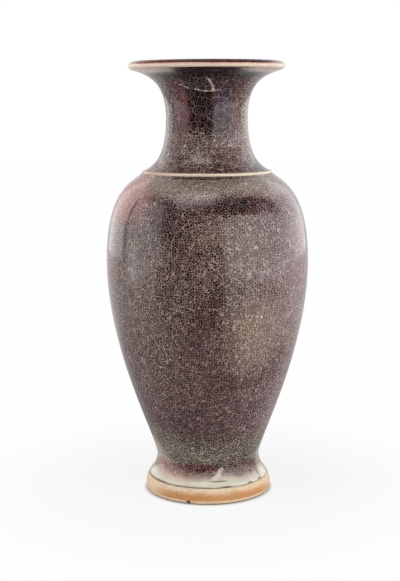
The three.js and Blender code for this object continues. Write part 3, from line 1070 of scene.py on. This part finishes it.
class VASE_OT_studio(bpy.types.Operator):
    """Set the floor, the white surround, dark and bright walls, lamps and camera"""

    bl_idname = "vase.studio"
    bl_label = "Studio"

    def execute(self, context):
        look = context.scene.vase_studio
        world = bpy.data.worlds.new("White surround")
        context.scene.world = world
        t = empty_tree(world)
        rays = t.add("ShaderNodeLightPath").outputs
        white = t.math("MAXIMUM", rays["Is Camera Ray"], t.math(
            "MAXIMUM", rays["Is Glossy Ray"], rays["Is Transmission Ray"]))
        strength = t.step(white, 0, 1, look.room, 1)
        background = t.add("ShaderNodeBackground", {"Strength": strength, "Color": (1, 1, 1)})
        t.add("ShaderNodeOutputWorld", {"Surface": background.outputs[0]})

        bpy.ops.mesh.primitive_circle_add(vertices=96, radius=6, fill_type="NGON")
        floor = context.object
        floor.name = "studio_floor"
        material = bpy.data.materials.new("White floor")
        t = empty_tree(material)
        rays = t.add("ShaderNodeLightPath").outputs
        lit = t.add("ShaderNodeBsdfDiffuse", {"Color": (0.86, 0.86, 0.86)})
        place = t.add("ShaderNodeNewGeometry").outputs["Position"]
        away = t.add("ShaderNodeVectorMath", {0: place}, operation="LENGTH").outputs["Value"]
        # Painted shade: seen in reflections, the floor glows dimmer, and dimmest near the vase.
        shade = t.product(rays["Is Glossy Ray"], t.step(away, 0.25, 0.7, 0.55, 0.24))
        glow = t.add("ShaderNodeEmission", {"Strength": t.math("SUBTRACT", 1, shade)})
        seen = t.math("MAXIMUM", rays["Is Camera Ray"], rays["Is Glossy Ray"])
        white = t.math("ADD", t.step(away, CONTACT_START, CONTACT_END, 0, 0.84),
                       t.step(away, CONTACT_END, SHADE_END, 0, 0.15))
        mixed = t.add("ShaderNodeMixShader", {
            "Fac": t.product(seen, white), 1: lit.outputs[0], 2: glow.outputs[0]})
        t.add("ShaderNodeOutputMaterial", {"Surface": mixed.outputs[0]})
        floor.data.materials.append(material)

        dark, t, surface = new_material("Dark room")
        t.fill(surface, {"Base Color": (0.02, 0.02, 0.02), "Roughness": 1})
        glow, t, surface = new_material("Bright backdrop")
        t.fill(surface, {"Base Color": (0, 0, 0), "Emission Color": (1, 1, 1),
                         "Emission Strength": look.back_glow})
        # Name, start and end in degrees from the front, radius and height of both edges
        for name, start, end, low, high in (
                ("dark_front", -106, 100, (2, -0.01), (2, 3.2)),
                ("dark_edge", -108.5, -103, (1.25, -0.01), (1.25, 1.2)),
                ("dark_floor", -57, 17, (0.34, 0.001), (2, 0.001)),
                ("glow_left", -150, -106, (2.2, 0.01), (2.2, 2)),
                ("glow_right", 105, 150, (2.2, 0.01), (2.2, 2))):
            wall = wall_piece(name, start, end, low, high)
            wall.data.materials.append(glow if name.startswith("glow") else dark)
            wall.visible_camera = wall.visible_diffuse = wall.visible_shadow = False

        softbox("Right softbox", look.right_box, angle=58, distance=1, height=0.36,
                width=1.75, tall=0.74, lean=-3)
        softbox("Left softbox", look.left_box, angle=-79, distance=1.1, height=0.58,
                width=1.04, tall=1.15, lean=12, aim_height=0.58)
        softbox("Top softbox", look.top_box, angle=-25.6, distance=0.735, height=1.5,
                width=1.05, tall=0.74, lean=25.6)

        data = bpy.data.cameras.new("Camera")
        data.sensor_width, data.lens = SENSOR, FOCAL_PIXELS / PICTURE_PIXELS * SENSOR
        camera = put_in_scene("Camera", data)
        camera.location = (look.camera_side, -look.camera_distance, look.camera_height)
        camera.rotation_euler = (math.pi / 2 - look.camera_tilt, 0, 0)
        camera.rotation_euler.rotate_axis("Z", look.camera_roll)
        context.scene.camera = camera
        context.scene.view_settings.view_transform = "Standard"
        return {"FINISHED"}


class VASE_PT_panel(bpy.types.Panel):
    """Lists the steps that build the vase"""

    bl_label = "Ceramic Vase"
    bl_idname = "VASE_PT_panel"
    bl_space_type = "VIEW_3D"
    bl_region_type = "UI"
    bl_category = "Vase"

    def draw(self, context):
        for step in STEPS:
            self.layout.operator(step.bl_idname)
        for group in SETTINGS:
            box = self.layout.box()
            values = getattr(context.scene, group)
            for key in values.bl_rna.properties.keys():
                if key not in ("rna_type", "name"):
                    box.prop(values, key)


STEPS = (
    VASE_OT_foot_ring,
    VASE_OT_clay_body,
    VASE_OT_outer_glaze,
    VASE_OT_pale_edges,
    VASE_OT_lining,
    VASE_OT_studio,
)
SETTINGS = {
    "vase_sizes": VASE_PG_sizes,
    "vase_colours": VASE_PG_colours,
    "vase_glaze": VASE_PG_glaze,
    "vase_studio": VASE_PG_studio,
}
CLASSES = (*SETTINGS.values(), *STEPS, VASE_PT_panel)


def register():
    for kind in CLASSES:
        bpy.utils.register_class(kind)
    for key, kind in SETTINGS.items():
        setattr(bpy.types.Scene, key, PointerProperty(type=kind))


def unregister():
    for key in SETTINGS:
        delattr(bpy.types.Scene, key)
    for kind in reversed(CLASSES):
        bpy.utils.unregister_class(kind)


def main():
    register()
    bpy.ops.vase.foot_ring()
    bpy.ops.vase.clay_body()
    bpy.ops.vase.outer_glaze()
    bpy.ops.vase.pale_edges()
    bpy.ops.vase.lining()
    bpy.ops.vase.studio()


if __name__ == "__main__":
    main()
